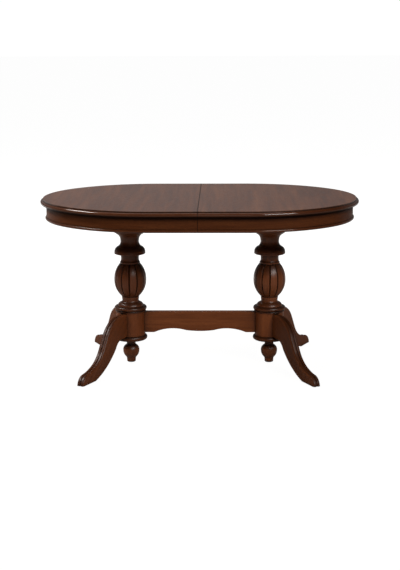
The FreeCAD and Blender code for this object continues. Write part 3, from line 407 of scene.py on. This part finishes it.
# the base: turned pieces, drums, legs and stretcher
UPRIGHT = (1.0, 1.0, 13.0)
# the upward faces of the turned pieces get painted shade, as in the top's shadow
TURNED_CREST = {"crest": (0, 0, 1), "crest_from": 0.06, "crest_to": 0.62}
for side, out_x in (("left", -1), ("right", 1)):
    x = COLUMN_X * out_x
    dress(mahogany("wood_%s_column" % side, UPRIGHT, shift=(x * 0.5, 0.04, 0.0), tint=1.75, figure=0.3,
                   rough=0.42, relief=0.05, specular=0.08, coat=0.62, coat_rough=0.34,
                   hollow_shade=0.97, reach=0.034, open_from=0.34, open_to=0.96, crease_shade=0.6, **TURNED_CREST),
          side + "_column", side + "_finial")
    dress(mahogany("wood_%s_rings" % side, UPRIGHT, shift=(x * 0.3, 0.02, 0.0), figure=0.3,
                   rough=0.48, relief=0.02, specular=0.06, coat_rough=0.34,
                   hollow_shade=0.97, reach=0.05, open_from=0.42, open_to=1.0, **TURNED_CREST),
          side + "_collar", side + "_base_cap")
    # the drums' hollow shade paints shade where the legs and stretcher join them
    dress(mahogany("wood_%s_drum" % side, UPRIGHT, shift=(x * 0.4, 0.06, 0.1), tint=1.92, figure=0.3,
                   rough=0.42, relief=0.05, specular=0.08, coat=0.3, coat_rough=0.3,
                   hollow_shade=0.95, reach=0.045, open_from=0.3, open_to=0.98),
          side + "_drum")
    for end, out_y in (("front", -1), ("rear", 1)):
        angle = math.atan2(out_y * math.sin(math.radians(LEG_ANGLE)),
                           out_x * math.cos(math.radians(LEG_ANGLE)))
        # the leg's crest gets painted shade
        crest = (LEG_CREST_OUT * math.cos(angle), LEG_CREST_OUT * math.sin(angle), LEG_CREST_UP)
        dress(mahogany("wood_%s_leg_%s" % (side, end), (13.0, 1.0, 1.0),
                       turn=(0, math.radians(LEG_SLOPE), angle), shift=(x, 0, 0), tint=1.4, figure=0.35,
                       rough=0.58, relief=0.02, specular=0.06, coat=0.36, coat_rough=0.36,
                       hollow_shade=0.85, crest=crest),
              "%s_leg_%s" % (side, end))
# the stretcher's wide hollow shade paints shade towards the drums
dress(mahogany("wood_stretcher", (14.0, 1.0, 1.0), tint=1.7,
               rough=0.42, relief=0.1, specular=0.08, coat=0.25, coat_rough=0.3,
               hollow_shade=0.85, reach=0.12, open_from=0.6, open_to=1.0, arris=ARRIS),
      "stretcher")

# hidden slides and hardware, by the record's slots
hidden = {
    "plain_hardwood": plain_hardwood("wood_plain"),
    "zinc_steel": zinc("zinc_plate"),
    "gear_nylon": moulded("nylon", dark=(0.62, 0.59, 0.52), light=(0.72, 0.69, 0.61), rough=0.4),
    "glide_plastic": moulded("glide", dark=(0.012, 0.010, 0.009), light=(0.022, 0.019, 0.017), rough=0.5),
}
for entry in frame["record"]["subparts"]:
    if entry["material_slot"] in hidden:
        dress(hidden[entry["material_slot"]], entry["node"])


def even_out():
    """A node group that joins a mesh's loose faces and shades it smooth up to its sharp edges."""
    group = bpy.data.node_groups.new("even_out", "GeometryNodeTree")
    for way in ("INPUT", "OUTPUT"):
        group.interface.new_socket("Geometry", in_out=way, socket_type="NodeSocketGeometry")
    bench = Bench(group)
    given = bench.node("NodeGroupInput", 0)
    joined = bench.node("GeometryNodeMergeByDistance", "Geometry", None,
                        {"Geometry": given, "Distance": MERGE_DISTANCE})
    smooth = bench.node("GeometryNodeSetShadeSmooth", "Geometry", None, {"Geometry": joined})
    angle = bench.node("GeometryNodeInputMeshEdgeAngle", "Unsigned Angle")
    sharp = bench.node("FunctionNodeCompare", "Result", {"data_type": "FLOAT", "operation": "GREATER_THAN"},
                       {"A": angle, "B": math.radians(SHARP_ANGLE)})
    crisp = bench.node("GeometryNodeSetShadeSmooth", "Geometry", {"domain": "EDGE"},
                       {"Geometry": smooth, "Selection": sharp, "Shade Smooth": False})
    bench.fill(group.nodes.new("NodeGroupOutput"), {0: crisp})
    return group


evened = even_out()
for piece in nodes.values():
    piece.modifiers.new("even_out", "NODES").node_group = evened
    weighted = piece.modifiers.new("weighted", "WEIGHTED_NORMAL")
    weighted.weight = NORMAL_WEIGHT
    weighted.keep_sharp = True

bpy.ops.mesh.primitive_plane_add(size=FLOOR_SIZE, location=(0, 0, 0))
floor = bpy.context.object
floor.name = "floor"
floor.data.materials.append(paper("paper"))


def studio(name):
    """A world that is white to the camera, and otherwise dark but for a dim band behind the table."""
    world = bpy.data.worlds.new(name)
    world.use_nodes = True
    bench = Bench(world.node_tree)
    way = bench.node("ShaderNodeTexCoord", "Generated")
    height = bench.part("Z", way)
    behind = bench.part("Y", way).above(-0.2, 0.6)
    right = bench.part("X", way).above(-0.06, 0.14)
    band = behind * height.above(-0.05, 0.12) * (1.0 - height.above(0.3, 0.6))
    dim = band * (1.0 - right * BAND_LOSS_RIGHT) * STUDIO_BAND + STUDIO_DARK
    strength = dim + (STUDIO_WHITE - dim) * bench.camera_ray()
    bench.fill(world.node_tree.nodes["Background"], {"Color": opaque(WHITE), "Strength": strength})
    return world


scene.world = studio("studio")


def softbox(name, place, aim, width, depth, power, colour=(1.0, 0.97, 0.94), glints=True):
    """A soft rectangular lamp turned to a point, with or without its glints."""
    bpy.ops.object.light_add(type="AREA", location=place)
    lamp = bpy.context.object
    lamp.name = name
    lamp.data.shape = "RECTANGLE"
    lamp.data.size = width
    lamp.data.size_y = depth
    lamp.data.energy = power
    lamp.data.color = colour
    lamp.visible_glossy = glints
    way = [a - b for a, b in zip(aim, place)]
    tilt = math.atan2(math.hypot(way[0], way[1]), -way[2])
    lamp.rotation_euler = (tilt, 0, math.atan2(way[1], way[0]) - math.pi / 2)


softbox("lamp_right", (3.0, -4.4, 3.7), aim=(0, 0, 0.4), width=3.0, depth=1.3, power=240)
softbox("lamp_fill", (-3.4, -3.8, 3.4), aim=(0, 0, 0.3), width=2.0, depth=1.2, power=75, glints=False)
softbox("lamp_left", (-3.9, 0.0, 4.5), aim=(0, 0, 0.4), width=3.2, depth=0.8, power=260)
softbox("lamp_front", (0.3, -5.6, 1.7), aim=(0, 0, 0.3), width=0.9, depth=0.9, power=4)
softbox("lamp_above", (-0.3, 0.6, 4.6), aim=(-0.2, 0, TABLE_HEIGHT), width=3.2, depth=2.4, power=30,
        colour=(1.0, 0.95, 0.90))
softbox("lamp_back", (-1.2, 4.6, 3.6), aim=(0, 0, 0.4), width=2.6, depth=1.2, power=110, glints=False)

camera = bpy.data.cameras.new("camera")
camera.sensor_width = SENSOR
camera.lens = FOCAL_PIXELS * SENSOR / FRAME_PIXELS
eye = bpy.data.objects.new("camera", camera)
scene.collection.objects.link(eye)
eye.location = CAMERA_PLACE
eye.rotation_euler = (math.radians(90.0 - CAMERA_PITCH), math.radians(CAMERA_ROLL), math.radians(CAMERA_YAW))
scene.camera = eye
scene.view_settings.view_transform = "Standard"
